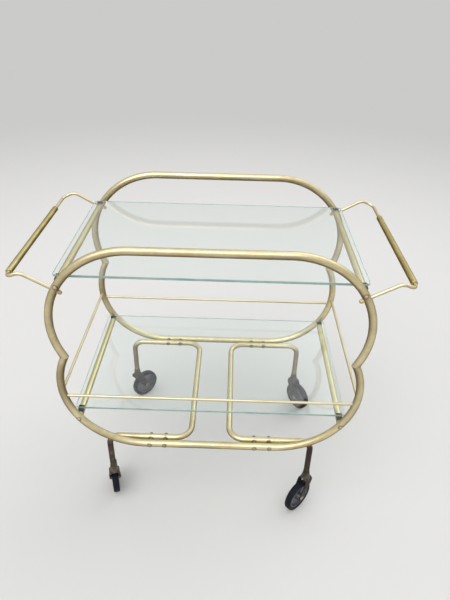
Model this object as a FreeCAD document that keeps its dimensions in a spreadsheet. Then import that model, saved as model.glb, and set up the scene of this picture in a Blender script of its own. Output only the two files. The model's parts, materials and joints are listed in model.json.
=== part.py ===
import FreeCAD, Part
import math
import os
import Sketcher
from FreeCAD import Placement, Rotation, Vector
from types import SimpleNamespace

# A brass bar cart: two stadium-shaped tube hoops joined by crossbars, two glass shelves,
# a lower gallery of thin rails, a rod handle at each end and two bent leg tubes on casters.
# X runs along the cart, Y from front (minus) to rear, Z up; the origin is on the floor under the middle.

SIZES = (
    ("hoop_depth", 462, "front hoop plane to rear hoop plane"),
    ("hoop_top", 829, "centre height of the top bars"),
    ("hoop_bottom", 249, "centre height of the bottom bars"),
    ("hoop_straight", 342, "length of the straight top and bottom bars"),
    ("hoop_bend", 199, "centre radius of the hoop ends"),
    ("hoop_tube", 19, "hoop tube diameter"),
    ("hoop_wall", 1.5, "hoop tube wall"),
    ("waist_overrun", 11, "bent hoop end past the waist before it is mitred"),
    ("cross_tube", 16, "crossbar diameter"),
    ("cross_wall", 1.5, "crossbar wall"),
    ("cross_angle", 33, "crossbar place on the hoop bend, degrees from level"),
    ("insert_length", 20, "threaded insert inside a crossbar end"),
    ("screw_shank", 4, "crossbar screw shank diameter"),
    ("screw_head", 9, "crossbar screw head diameter"),
    ("screw_dome", 2.6, "crossbar screw head height over the tube"),
    ("screw_round", 13.5, "sphere that rounds the crossbar screw head"),
    ("handle_angle", 29.6, "handle rod place on the hoop bend, degrees from level"),
    ("handle_rod", 8, "handle rod diameter"),
    ("handle_tail", 6, "threaded tail of the handle rod"),
    ("handle_rise", 82, "hoop centre to the crest of the handle arm"),
    ("grip_out", 103, "grip axis outward from the rod's place on the hoop"),
    ("grip_up", 28, "grip axis above the rod's place on the hoop"),
    ("handle_crest", 24, "bend radius at the crest of the arm"),
    ("handle_corner", 19, "bend radius between arm and grip"),
    ("grip_tube", 15, "grip sleeve diameter"),
    ("grip_length", 352, "grip sleeve length"),
    ("grip_edge", 1.5, "rounded edge at the grip sleeve ends"),
    ("nut_flats", 10, "handle nut across flats"),
    ("nut_height", 5, "handle nut hexagon height"),
    ("nut_dome", 9.2, "handle nut dome diameter"),
    ("tail_end", 2.5, "handle rod tail past the nut hexagon, inside its dome"),
    ("glass_length", 704, "glass shelf length"),
    ("glass_depth", 422, "glass shelf depth"),
    ("glass_thick", 6, "glass shelf thickness"),
    ("glass_corner", 10, "glass shelf corner radius"),
    ("glass_arris", 0.8, "ground edge of the glass"),
    ("pad_rise", 2, "rubber between crossbar and glass"),
    ("pad_length", 18, "rubber pad along the crossbar"),
    ("pad_width", 14, "rubber pad across the crossbar"),
    ("pad_place", 210, "rubber pad distance from the middle"),
    ("rail_rod", 7, "gallery rail diameter"),
    ("rail_angle", 9.8, "front and rear rail below level on the lower bend, degrees"),
    ("side_rail_angle", 5.2, "side rail below level on the lower bend, degrees"),
    ("rail_reach", 1, "rail end past the inside of the tube wall"),
    ("leg_tube", 16, "leg tube diameter"),
    ("leg_wall", 1.5, "leg tube wall"),
    ("leg_gap", 6, "space between hoop bottom bar and leg tube"),
    ("leg_inner", 52, "inner run of the leg tube from the middle"),
    ("leg_plan_bend", 42, "leg tube bend radius seen from above"),
    ("leg_out", 275, "leg distance from the middle"),
    ("leg_drop_bend", 30, "leg tube bend radius into the leg"),
    ("leg_end", 130, "leg end above the floor"),
    ("bolt_near", 120, "inner leg bolt from the middle"),
    ("bolt_far", 160, "outer leg bolt from the middle"),
    ("bolt_shank", 5, "leg bolt shank diameter"),
    ("bolt_head", 9, "leg bolt head diameter"),
    ("bolt_dome", 3, "leg bolt head height over the tube"),
    ("bolt_round", 12.6, "sphere that rounds the leg bolt head"),
    ("bolt_end", 0.5, "leg bolt end past the nut"),
    ("spacer_width", 11, "spacer diameter between hoop and leg tube"),
    ("leg_nut_flats", 9, "leg nut across flats"),
    ("leg_nut_height", 2.5, "leg nut height over the tube"),
    ("wheel_width", 95, "wheel diameter"),
    ("tyre_width", 18, "tyre width"),
    ("tyre_depth", 10.5, "tyre depth over the rim"),
    ("tyre_shoulder", 4, "tyre edge radius"),
    ("tyre_taper", 1, "narrowing of the tyre at the rim, each side"),
    ("rim_width", 15, "rim width"),
    ("rim_depth", 4, "rim depth"),
    ("web_thick", 4, "wheel disc thickness"),
    ("boss_width", 20, "hub boss diameter"),
    ("boss_draft", 2, "widening of the hub boss at the wheel disc, all round"),
    ("hub_gap", 0.6, "side play between hub boss and fork"),
    ("trail", 28, "axle distance behind the swivel axis"),
    ("axle_pin", 8, "axle diameter"),
    ("axle_head", 14, "axle head diameter"),
    ("axle_head_thick", 2.5, "axle head thickness"),
    ("axle_chamfer", 1, "axle head chamfer"),
    ("fork_inside", 25, "space between the fork cheeks"),
    ("fork_sheet", 2.5, "fork sheet thickness"),
    ("fork_shoulder", 7, "inside bend radius of the fork shoulders"),
    ("fork_roof", 10, "space between tyre top and fork roof"),
    ("fork_reach", 13, "fork roof reach before and behind the swivel axis"),
    ("fork_eye", 10, "fork end radius round the axle"),
    ("cheek_front", 12, "start of the fork cheek's front taper below the roof"),
    ("cheek_back", 14, "start of the fork cheek's back taper below the roof"),
    ("cheek_flare", 4, "start of the back taper behind the roof edge"),
    ("swivel_flare", 25, "swivel head diameter at the fork"),
    ("flare_height", 2.5, "height of the swivel head's wide foot"),
    ("neck_start", 7, "start of the swivel head's neck above the fork roof"),
    ("swivel_neck", 19, "swivel head diameter under the leg"),
    ("swivel_play", 0.3, "space between swivel head and socket"),
    ("stem_pin", 8, "caster stem diameter"),
    ("stem_rivet", 6, "riveted lower end of the stem"),
    ("stem_rivet_head", 11, "rivet head under the fork roof"),
    ("rivet_thick", 2, "rivet head thickness"),
    ("stem_chamfer", 1, "chamfer at the stem's top end"),
    ("stem_reach", 24, "stem length inside the leg"),
    ("socket_depth", 28, "socket length inside the leg"),
    ("socket_lip", 3, "socket lip under the leg end"),
    ("socket_rim", 1, "socket lip past the leg tube, all round"),
    ("running_fit", 0.05, "radial clearance of stem and axle"),
    ("overcut", 1, "reach of a trimming shape past what it trims"),
)

CASTERS = (
    ("front_left", -1, -1, 106),
    ("front_right", 1, -1, 225),
    ("rear_left", -1, 1, 45),
    ("rear_right", 1, 1, -52),
)

doc = FreeCAD.newDocument("bar_cart")
sheet = doc.addObject("Spreadsheet::Sheet", "Sizes")
for row, (alias, value, note) in enumerate(SIZES, 1):
    sheet.set("A%d" % row, note)
    sheet.set("B%d" % row, str(value))
    sheet.setAlias("B%d" % row, alias)
doc.recompute()


class Size:
    # A length, angle or ratio: its number and the sheet formula that gives it.
    def __init__(self, number, formula):
        self.number = float(number)
        self.formula = formula

    def joined(self, other, sign, number):
        return Size(number, "(%s %s %s)" % (self.formula, sign, other.formula))

    def __add__(self, other):
        other = as_size(other)
        return self.joined(other, "+", self.number + other.number)

    def __sub__(self, other):
        other = as_size(other)
        return self.joined(other, "-", self.number - other.number)

    def __mul__(self, other):
        other = as_size(other)
        return self.joined(other, "*", self.number * other.number)

    def __truediv__(self, other):
        other = as_size(other)
        return self.joined(other, "/", self.number / other.number)

    def __radd__(self, other):
        return as_size(other) + self

    def __rsub__(self, other):
        return as_size(other) - self

    def __rmul__(self, other):
        return as_size(other) * self

    def __neg__(self):
        return as_size(0) - self


def as_size(value):
    if isinstance(value, Size):
        return value
    return Size(value, "(%r)" % float(value))


def sine(angle):
    return Size(math.sin(math.radians(angle.number)), "sin(%s)" % angle.formula)


def cosine(angle):
    return Size(math.cos(math.radians(angle.number)), "cos(%s)" % angle.formula)


def root(value):
    return Size(math.sqrt(value.number), "sqrt(%s)" % value.formula)


S = SimpleNamespace(**{row[0]: Size(getattr(sheet, row[0]), "Sizes." + row[0]) for row in SIZES})


def bind(item, prop, size):
    item.setExpression(prop, as_size(size).formula)


def put(item, x=0, y=0, z=0, turn=None):
    if turn is not None:
        item.Placement = Placement(Vector(), turn)
    for axis, size in (("x", x), ("y", y), ("z", z)):
        bind(item, "Placement.Base." + axis, size)
    return item


TURN = {
    "x": Rotation(Vector(0, 1, 0), 90),
    "y": Rotation(Vector(1, 0, 0), -90),
    "-y": Rotation(Vector(1, 0, 0), 90),
    "z": Rotation(),
}


def rod(name, diameter, length, along, x, y, z):
    # A plain round bar that starts at the given point.
    bar = doc.addObject("Part::Cylinder", name)
    bind(bar, "Radius", diameter / 2)
    bind(bar, "Height", length)
    return put(bar, x, y, z, TURN[along] if isinstance(along, str) else along)


def hexagon(name, flats, length, along, x, y, z):
    prism = doc.addObject("Part::Prism", name)
    prism.Polygon = 6
    bind(prism, "Circumradius", flats / math.sqrt(3))
    bind(prism, "Height", length)
    return put(prism, x, y, z, TURN[along] if isinstance(along, str) else along)


def ball(name, diameter, along, x, y, z):
    sphere = doc.addObject("Part::Sphere", name)
    bind(sphere, "Radius", diameter / 2)
    return put(sphere, x, y, z, TURN[along] if isinstance(along, str) else along)


def fused(name, pieces):
    whole = doc.addObject("Part::MultiFuse", name)
    whole.Shapes = pieces
    whole.Refine = True
    return whole


def cut(name, base, tools):
    rest = doc.addObject("Part::Cut", name)
    rest.Base = base
    rest.Tool = tools[0] if len(tools) == 1 else fused(name + "_cutter", tools)
    rest.Refine = True
    return rest


def shared(name, first, second):
    both = doc.addObject("Part::Common", name)
    both.Base = first
    both.Tool = second
    return both


def group(name, pieces):
    several = doc.addObject("Part::Compound", name)
    several.Links = pieces
    return several


def new_sketch(body, role):
    sketch = body.newObject("Sketcher::SketchObject", body.Name + "_sketch")
    plane = [item for item in body.Origin.OriginFeatures if item.Role == role][0]
    sketch.AttachmentSupport = [(plane, "")]
    sketch.MapMode = "FlatFace"
    return sketch


def limit(sketch, kind, where, size):
    number = sketch.addConstraint(Sketcher.Constraint(kind, *where, as_size(size).number))
    bind(sketch, "Constraints[%d]" % number, size)


def pin(sketch, where, x, y):
    limit(sketch, "DistanceX", (-1, 1) + where, x)
    limit(sketch, "DistanceY", (-1, 1) + where, y)


def circles(sketch, x, y, diameters):
    for diameter in diameters:
        centre = Vector(as_size(x).number, as_size(y).number, 0)
        ring = sketch.addGeometry(Part.Circle(centre, Vector(0, 0, 1), diameter.number / 2))
        pin(sketch, (ring, 3), x, y)
        limit(sketch, "Diameter", (ring,), diameter)


def bend_between(start, end, radius):
    # The short arc between two points; a positive radius turns left on the way.
    middle = (start + end) * 0.5
    chord = end - start
    height = math.sqrt(max(radius * radius - chord.Length ** 2 / 4, 0))
    side = Vector(-chord.y, chord.x, 0).normalize()
    centre = middle + side * math.copysign(height, radius)
    first, last = (start, end) if radius > 0 else (end, start)
    angles = [math.atan2(point.y - centre.y, point.x - centre.x) for point in (first, last)]
    return Part.ArcOfCircle(Part.Circle(centre, Vector(0, 0, 1), abs(radius)), angles[0], angles[1])


def outline(sketch, corners, bends=None, closed=True):
    # Straight lines from corner to corner, or an arc where a radius is given for the corner it leaves.
    bends = bends or {}
    spots = [Vector(as_size(x).number, as_size(y).number, 0) for x, y in corners]
    count = len(corners) if closed else len(corners) - 1
    ends = []
    for index in range(count):
        start, end = spots[index], spots[(index + 1) % len(spots)]
        if index in bends:
            radius, side = bends[index]
            piece = sketch.addGeometry(bend_between(start, end, radius.number * side))
            limit(sketch, "Radius", (piece,), radius)
            ends.append((piece, 1, 2) if side > 0 else (piece, 2, 1))
        else:
            piece = sketch.addGeometry(Part.LineSegment(start, end))
            ends.append((piece, 1, 2))
    for index in range(count if closed else count - 1):
        this, following = ends[index], ends[(index + 1) % count]
        sketch.addConstraint(Sketcher.Constraint("Coincident", this[0], this[2], following[0], following[1]))
    for index, (x, y) in enumerate(corners):
        piece, first, last = ends[min(index, count - 1)]
        pin(sketch, (piece, first if index < count else last), x, y)


def turned(name, corners, bends=None):
    # A solid of revolution about its own Z axis; corners are radius and height.
    body = doc.addObject("PartDesign::Body", name)
    profile = new_sketch(body, "XZ_Plane")
    outline(profile, corners, bends)
    solid = body.newObject("PartDesign::Revolution", name + "_turning")
    solid.Profile = profile
    solid.ReferenceAxis = (profile, ["V_Axis"])
    solid.Angle = 360
    return body


def plate(name, role, corners, thickness, bends=None):
    # A flat piece of even thickness, centred on its sketch plane.
    body = doc.addObject("PartDesign::Body", name)
    profile = new_sketch(body, role)
    outline(profile, corners, bends)
    solid = body.newObject("PartDesign::Pad", name + "_pad")
    solid.Profile = profile
    solid.SideType = "Symmetric"
    bind(solid, "Length", thickness)
    return body


def bent_bar(name, corners, radii, diameters, turn=None):
    # A round bar or tube along straight runs joined by bends.
    spots = [Vector(*[as_size(value).number for value in corner]) for corner in corners]
    edges = []
    start = spots[0]
    for index, radius in enumerate(radii, 1):
        before = (spots[index - 1] - spots[index]).normalize()
        after = (spots[index + 1] - spots[index]).normalize()
        half = before.getAngle(after) / 2
        reach = radius.number / math.tan(half)
        first, last = spots[index] + before * reach, spots[index] + after * reach
        middle = (before + after).normalize()
        crown = spots[index] + middle * (radius.number / math.sin(half) - radius.number)
        edges.append(Part.LineSegment(start, first).toShape())
        edges.append(Part.Arc(first, crown, last).toShape())
        start = last
    edges.append(Part.LineSegment(start, spots[-1]).toShape())
    path = doc.addObject("Part::Feature", name + "_path")
    path.Shape = Part.Wire(edges)
    heading = Rotation(Vector(0, 0, 1), spots[1] - spots[0])
    bars = []
    for diameter in diameters:
        section = doc.addObject("Part::Circle", name + "_section")
        bind(section, "Radius", diameter / 2)
        section.Placement = Placement(spots[0], heading)
        bar = doc.addObject("Part::Sweep", name + "_bar")
        bar.Sections = [section]
        bar.Spine = (path, ["Edge%d" % number for number in range(1, len(edges) + 1)])
        bar.Solid = True
        bars.append(bar)
    return bars


# Places on the hoops that the other pieces share.
half_depth = S.hoop_depth / 2
half_bar = S.hoop_straight / 2
upper_centre = S.hoop_top - S.hoop_bend
lower_centre = S.hoop_bottom + S.hoop_bend
waist_sine = (upper_centre - lower_centre) / 2 / S.hoop_bend
waist_cosine = root(1 - waist_sine * waist_sine)
waist_z = (S.hoop_top + S.hoop_bottom) / 2
overrun_angle = S.waist_overrun / S.hoop_bend * (180 / math.pi)
end_sine = waist_sine * cosine(overrun_angle) + waist_cosine * sine(overrun_angle)
end_cosine = waist_cosine * cosine(overrun_angle) - waist_sine * sine(overrun_angle)
end_x = half_bar + S.hoop_bend * end_cosine
upper_end_z = upper_centre - S.hoop_bend * end_sine
lower_end_z = lower_centre + S.hoop_bend * end_sine
cross_x = half_bar + S.hoop_bend * cosine(S.cross_angle)
cross_up = S.hoop_bend * sine(S.cross_angle)
upper_cross_z = upper_centre + cross_up
lower_cross_z = lower_centre - cross_up
hoop_bore = S.hoop_tube - S.hoop_wall * 2
hoop_side = half_depth - S.hoop_tube / 2
hoop_face = half_depth + S.hoop_tube / 2
cross_bore = S.cross_tube - S.cross_wall * 2
leg_y = hoop_side - S.leg_gap - S.leg_tube / 2


def hoop_half(name, upper, side, diameters):
    # Half a hoop before its ends are mitred: a bar with a bend at each end, mirrored about the middle.
    body = doc.addObject("PartDesign::Body", name)
    path = new_sketch(body, "XZ_Plane")
    bar_z = S.hoop_top if upper else S.hoop_bottom
    end_z = upper_end_z if upper else lower_end_z
    bend = (S.hoop_bend, -1 if upper else 1)
    outline(path, [(0, bar_z), (half_bar, bar_z), (end_x, end_z)], {1: bend}, closed=False)
    section = new_sketch(body, "YZ_Plane")
    circles(section, 0, bar_z, diameters)
    tube = body.newObject("PartDesign::AdditivePipe", name + "_tube")
    tube.Profile = section
    tube.Spine = (path, ["Edge1", "Edge2"])
    both = body.newObject("PartDesign::Mirrored", name + "_both")
    both.Originals = [tube]
    both.MirrorPlane = ([item for item in body.Origin.OriginFeatures if item.Role == "YZ_Plane"][0], [""])
    body.Tip = both
    bind(body, "Placement.Base.y", half_depth * side)
    return body


NODES = []


def keep(node):
    NODES.append(node)
    return node


SIDES = (("front", -1), ("rear", 1))
ENDS = (("left", -1), ("right", 1))
SIGNS = (-1, 1)

# Space taken by each hoop half, for shaping whatever is seated against it.
full_hoop = {}
for place, side in SIDES:
    full_hoop[place, "upper"] = hoop_half(place + "_upper_space", True, side, [S.hoop_tube])
    full_hoop[place, "lower"] = hoop_half(place + "_lower_space", False, side, [S.hoop_tube])

seat_x = half_bar + S.hoop_bend * cosine(S.handle_angle)
seat_z = upper_centre + S.hoop_bend * sine(S.handle_angle)


def radial(end):
    # Turns the Z axis to the outward direction of the handle arm on the left or right end.
    angle = math.radians(S.handle_angle.number)
    return Rotation(Vector(0, 0, 1), Vector(end * math.cos(angle), 0, math.sin(angle)))


# Hoop halves, mitred at the waist and drilled for screws, handle rods, rails and leg bolts.
rail_x = half_bar + S.hoop_bend * cosine(S.rail_angle)
rail_z = lower_centre - S.hoop_bend * sine(S.rail_angle)
side_rail_x = half_bar + S.hoop_bend * cosine(S.side_rail_angle)
side_rail_z = lower_centre - S.hoop_bend * sine(S.side_rail_angle)
bolt_places = [place_x * sign for place_x in (S.bolt_near, S.bolt_far) for sign in SIGNS]
hole_length = S.hoop_tube * 2
arm_hole_x = seat_x - S.hoop_tube * cosine(S.handle_angle)
arm_hole_z = seat_z - S.hoop_tube * sine(S.handle_angle)


def mitre(side, above):
    # The space above or below the level plane in which the halves of a hoop meet.
    block = doc.addObject("Part::Box", "waist_mitre")
    half_length = end_x + S.hoop_tube
    bind(block, "Length", half_length * 2)
    bind(block, "Width", S.hoop_tube * 2)
    bind(block, "Height", S.hoop_tube * 2)
    z = waist_z if above else waist_z - S.hoop_tube * 2
    return put(block, -half_length, half_depth * side - S.hoop_tube, z)


for place, side in SIDES:
    plane_y = half_depth * side
    hole_y = plane_y - S.hoop_tube
    tube = hoop_half(place + "_upper_tube", True, side, [S.hoop_tube, hoop_bore])
    holes = [mitre(side, False)]
    for end in SIGNS:
        x = cross_x * end
        holes.append(rod("screw_hole", S.screw_shank, hole_length, "y", x, hole_y, upper_cross_z))
        x = arm_hole_x * end
        holes.append(rod("arm_hole", S.handle_tail, hole_length, radial(end), x, plane_y, arm_hole_z))
    keep(cut(place + "_upper_hoop", tube, holes))

    tube = hoop_half(place + "_lower_tube", False, side, [S.hoop_tube, hoop_bore])
    holes = [mitre(side, True)]
    for end in SIGNS:
        x = cross_x * end
        holes.append(rod("screw_hole", S.screw_shank, hole_length, "y", x, hole_y, lower_cross_z))
        x = side_rail_x * end
        inner_y = plane_y if side < 0 else plane_y - S.hoop_tube
        holes.append(rod("side_rail_hole", S.rail_rod, S.hoop_tube, "y", x, inner_y, side_rail_z))
        x = rail_x - S.hoop_tube if end > 0 else -rail_x
        holes.append(rod("rail_hole", S.rail_rod, S.hoop_tube, "x", x, plane_y, rail_z))
    for x in bolt_places:
        holes.append(rod("bolt_hole", S.bolt_shank, hole_length, "y", x, hole_y, S.hoop_bottom))
    keep(cut(place + "_lower_hoop", tube, holes))

# Crossbars shaped to the hoops, with a threaded insert and a screw at each end.
inserts = []
screws = []
for level, cross_z in (("upper", upper_cross_z), ("lower", lower_cross_z)):
    hoops = [full_hoop[place, level] for place, side in SIDES]
    for end_name, end in ENDS:
        x = cross_x * end
        outside = rod("cross_outside", S.cross_tube, S.hoop_depth, "y", x, -half_depth, cross_z)
        bore = rod("cross_bore", cross_bore, S.hoop_depth, "y", x, -half_depth, cross_z)
        keep(cut("%s_%s_crossbar" % (level, end_name), outside, [bore] + hoops))
        for place, side in SIDES:
            inward = "y" if side < 0 else "-y"
            outward = "-y" if side < 0 else "y"
            y = half_depth * side
            length = S.hoop_tube / 2 + S.insert_length
            start = rod("insert_start", cross_bore, length, inward, x, y, cross_z)
            shank = rod("insert_bore", S.screw_shank, length, inward, x, y, cross_z)
            inserts.append(cut("crossbar_insert", start, [shank, full_hoop[place, level]]))
            head = rod("head_start", S.screw_head, S.hoop_tube / 2 + S.screw_dome, outward, x, y, cross_z)
            y = (hoop_face + S.screw_dome - S.screw_round / 2) * side
            rounding = ball("head_round", S.screw_round, "y", x, y, cross_z)
            cap = cut("head_cap", shared("head_dome", head, rounding), [full_hoop[place, level]])
            length = S.hoop_tube + S.insert_length + S.screw_dome / 2
            y = (hoop_face + S.screw_dome / 2) * side
            stem = rod("screw_stem", S.screw_shank, length, inward, x, y, cross_z)
            screws.append(fused("crossbar_screw", [cap, stem]))
keep(group("crossbar_inserts", inserts))
keep(group("crossbar_screws", screws))

# Handles: a bent rod with threaded tails through the upper hoops, a grip sleeve and domed nuts.
crest_x = seat_x + S.handle_rise * cosine(S.handle_angle)
crest_z = seat_z + S.handle_rise * sine(S.handle_angle)
grip_x = seat_x + S.grip_out
grip_z = seat_z + S.grip_up
nut_reach = S.hoop_tube / 2 + S.nut_height
nut_x = seat_x - nut_reach * cosine(S.handle_angle)
nut_z = seat_z - nut_reach * sine(S.handle_angle)
tail_length = nut_reach + S.tail_end
tail_x = seat_x - tail_length * cosine(S.handle_angle)
tail_z = seat_z - tail_length * sine(S.handle_angle)
handle_nuts = []


def grip_sleeve(name):
    bore = S.handle_rod / 2
    radius = S.grip_tube / 2
    far = S.grip_length - S.grip_edge
    corners = [(bore, 0), (radius - S.grip_edge, 0), (radius, S.grip_edge), (radius, far)]
    corners += [(radius - S.grip_edge, S.grip_length), (bore, S.grip_length)]
    return turned(name, corners, {1: (S.grip_edge, 1), 3: (S.grip_edge, 1)})


for end_name, end in ENDS:
    corners = [(seat_x * end, -half_depth, seat_z), (crest_x * end, -half_depth, crest_z)]
    corners += [(grip_x * end, -half_depth, grip_z), (grip_x * end, half_depth, grip_z)]
    corners += [(crest_x * end, half_depth, crest_z), (seat_x * end, half_depth, seat_z)]
    radii = [S.handle_crest, S.handle_corner, S.handle_corner, S.handle_crest]
    bar = bent_bar(end_name + "_handle", corners, radii, [S.handle_rod])[0]
    arms = cut(end_name + "_handle_arms", bar, [full_hoop[place, "upper"] for place, side in SIDES])
    tails = []
    for place, side in SIDES:
        along = radial(end)
        y = half_depth * side
        x = tail_x * end
        tails.append(rod("handle_tail", S.handle_tail, tail_length + S.hoop_tube, along, x, y, tail_z))
        thread = rod("nut_thread", S.handle_tail, tail_length, along, x, y, tail_z)
        x = nut_x * end
        body = hexagon("nut_hexagon", S.nut_flats, nut_reach, along, x, y, nut_z)
        dome = ball("nut_dome", S.nut_dome, along, x, y, nut_z)
        blank = fused("nut_blank", [body, dome])
        handle_nuts.append(cut("handle_nut", blank, [full_hoop[place, "upper"], thread]))
    keep(fused(end_name + "_handle_rod", [arms] + tails))
    grip_start = -half_depth + S.handle_corner + S.handle_rod / 2
    keep(put(grip_sleeve(end_name + "_handle_grip"), grip_x * end, grip_start, grip_z, TURN["y"]))
keep(group("handle_nuts", handle_nuts))

# Glass shelves with ground edges, each on four rubber pads over the crossbars.
for level, cross_z in (("upper", upper_cross_z), ("lower", lower_cross_z)):
    pad_top = cross_z + S.cross_tube / 2 + S.pad_rise
    half_length = S.glass_length / 2
    half_width = S.glass_depth / 2
    near_x = half_length - S.glass_corner
    near_y = half_width - S.glass_corner
    corners = [(-near_x, -half_width), (near_x, -half_width), (half_length, -near_y), (half_length, near_y)]
    corners += [(near_x, half_width), (-near_x, half_width), (-half_length, near_y), (-half_length, -near_y)]
    rounds = {index: (S.glass_corner, 1) for index in (1, 3, 5, 7)}
    shelf = plate(level + "_glass_shelf", "XY_Plane", corners, S.glass_thick, rounds)
    doc.recompute()
    pane = shelf.Tip
    faces = ["Face%d" % number for number, face in enumerate(pane.Shape.Faces, 1)
             if abs(face.normalAt(0, 0).z) > 0.9]
    arris = shelf.newObject("PartDesign::Chamfer", level + "_arris")
    arris.Base = (pane, faces)
    bind(arris, "Size", S.glass_arris)
    put(shelf, 0, 0, pad_top + S.glass_thick / 2)
    keep(shelf)
    pads = []
    for end in SIGNS:
        for side in SIGNS:
            block = doc.addObject("Part::Box", "pad_block")
            bind(block, "Length", S.pad_width)
            bind(block, "Width", S.pad_length)
            bind(block, "Height", S.cross_tube / 2 + S.pad_rise)
            put(block, cross_x * end - S.pad_width / 2, S.pad_place * side - S.pad_length / 2, cross_z)
            bar = rod("pad_seat", S.cross_tube, S.pad_length * 2, "y",
                      cross_x * end, S.pad_place * side - S.pad_length, cross_z)
            pads.append(cut("shelf_pad", block, [bar]))
    keep(group(level + "_shelf_pads", pads))

# Gallery rails: plain rods let into the inner walls of the lower hoop halves.
rail_end = rail_x - S.hoop_tube / 2 + S.hoop_wall + S.rail_reach
side_rail_end = hoop_side + S.hoop_wall + S.rail_reach
for place, side in SIDES:
    keep(rod(place + "_rail", S.rail_rod, rail_end * 2, "x", -rail_end, half_depth * side, rail_z))
for end_name, end in ENDS:
    x = side_rail_x * end
    keep(rod(end_name + "_rail", S.rail_rod, side_rail_end * 2, "y", x, -side_rail_end, side_rail_z))

# Leg tubes, bolted beside the hoop bottom bars through spacers.
leg_bore = S.leg_tube - S.leg_wall * 2
bolt_outer = hoop_face + S.bolt_dome / 2
bolt_inner = leg_y - S.leg_tube / 2 - S.leg_nut_height - S.bolt_end
bolts = []
spacers = []
leg_nuts = []
for end_name, end in ENDS:
    foot = S.leg_out * end
    inner = S.leg_inner * end
    corners = [(foot, -leg_y, S.leg_end), (foot, -leg_y, S.hoop_bottom), (inner, -leg_y, S.hoop_bottom)]
    corners += [(inner, leg_y, S.hoop_bottom), (foot, leg_y, S.hoop_bottom), (foot, leg_y, S.leg_end)]
    radii = [S.leg_drop_bend, S.leg_plan_bend, S.leg_plan_bend, S.leg_drop_bend]
    outside, inside = bent_bar(end_name + "_leg", corners, radii, [S.leg_tube, leg_bore])
    holes = [inside]
    for side in SIGNS:
        inward = "y" if side < 0 else "-y"
        outward = "-y" if side < 0 else "y"
        z = S.hoop_bottom
        bar_y = half_depth * side
        run_y = leg_y * side
        start_x = S.bolt_far * (end - 1)
        bar = rod("bar_space", S.hoop_tube, S.bolt_far * 2, "x", start_x, bar_y, z)
        run = rod("run_space", S.leg_tube, S.bolt_far * 2, "x", start_x, run_y, z)
        for place_x in (S.bolt_near, S.bolt_far):
            x = place_x * end
            holes.append(rod("leg_hole", S.bolt_shank, S.leg_tube * 2, "y", x, run_y - S.leg_tube, z))
            head = rod("bolt_head", S.bolt_head, S.hoop_tube / 2 + S.bolt_dome, outward, x, bar_y, z)
            round_y = (hoop_face + S.bolt_dome - S.bolt_round / 2) * side
            rounding = ball("bolt_round", S.bolt_round, "y", x, round_y, z)
            cap = cut("bolt_cap", shared("bolt_dome", head, rounding), [bar])
            shank = rod("bolt_stem", S.bolt_shank, bolt_outer - bolt_inner, inward, x, bolt_outer * side, z)
            bolts.append(fused("leg_bolt", [cap, shank]))
            hollow = rod("spacer_bore", S.bolt_shank, half_depth, inward, x, bar_y, z)
            block = rod("spacer_block", S.spacer_width, half_depth - leg_y, inward, x, bar_y, z)
            spacers.append(cut("leg_spacer", block, [bar, run, hollow]))
            nut_length = S.leg_tube / 2 + S.leg_nut_height
            nut = hexagon("leg_nut_block", S.leg_nut_flats, nut_length, inward, x, run_y, z)
            leg_nuts.append(cut("leg_nut", nut, [run, hollow]))
    keep(cut(end_name + "_leg_tube", outside, holes))
keep(group("leg_spacers", spacers))
keep(group("leg_bolts", bolts))
keep(group("leg_nuts", leg_nuts))

# Casters: a socket in the leg, and a stem, fork, axle, hub and tyre that swivel under it.
wheel_radius = S.wheel_width / 2
rim_radius = wheel_radius - S.tyre_depth
roof_z = S.wheel_width + S.fork_roof
plate_z = roof_z + S.fork_sheet
lip_z = S.leg_end - S.socket_lip
head_z = lip_z - S.swivel_play
stem_radius = S.stem_pin / 2
bore_radius = stem_radius + S.running_fit
half_fork = S.fork_inside / 2
half_outer = half_fork + S.fork_sheet
half_boss = half_fork - S.hub_gap
axle_radius = S.axle_pin / 2
hub_bore = axle_radius + S.running_fit


def at_leg(item, across, along, turn, height=0, behind=0, axis=None):
    # Places a caster piece at its leg, turned to the rest direction of that caster.
    facing = math.radians(turn)
    rotation = Rotation(Vector(0, 0, 1), turn)
    if axis is not None:
        rotation = rotation.multiply(axis)
    x = S.leg_out * across + as_size(behind) * math.cos(facing)
    y = leg_y * along + as_size(behind) * math.sin(facing)
    return put(item, x, y, height, rotation)


def eye_tangent(x, z, side):
    # Where a straight edge from the given point touches the round end of the fork.
    across = x - S.trail
    up = z - wheel_radius
    reach = across * across + up * up
    near = S.fork_eye * S.fork_eye / reach
    far = S.fork_eye * root(reach - S.fork_eye * S.fork_eye) / reach * side
    return S.trail + across * near - up * far, wheel_radius + up * near + across * far


def caster_socket(place):
    lip_radius = S.leg_tube / 2 + S.socket_rim
    top = S.leg_end + S.socket_depth
    corners = [(bore_radius, lip_z), (lip_radius, lip_z), (lip_radius, S.leg_end)]
    corners += [(leg_bore / 2, S.leg_end), (leg_bore / 2, top), (bore_radius, top)]
    return turned(place + "_caster_socket", corners)


def caster_stem(place):
    stem_top = S.leg_end + S.stem_reach
    rivet_low = roof_z - S.rivet_thick
    corners = [(0, rivet_low), (S.stem_rivet_head / 2, rivet_low), (S.stem_rivet_head / 2, roof_z)]
    corners += [(S.stem_rivet / 2, roof_z), (S.stem_rivet / 2, plate_z), (stem_radius, plate_z)]
    corners += [(stem_radius, stem_top - S.stem_chamfer), (stem_radius - S.stem_chamfer, stem_top)]
    corners.append((0, stem_top))
    return turned(place + "_caster_stem", corners)


def swivel_head(place):
    flare = S.swivel_flare / 2
    neck = S.swivel_neck / 2
    corners = [(stem_radius, plate_z), (flare, plate_z), (flare, plate_z + S.flare_height)]
    corners += [(neck, plate_z + S.neck_start), (neck, head_z), (stem_radius, head_z)]
    return turned(place + "_swivel_head", corners)


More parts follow.
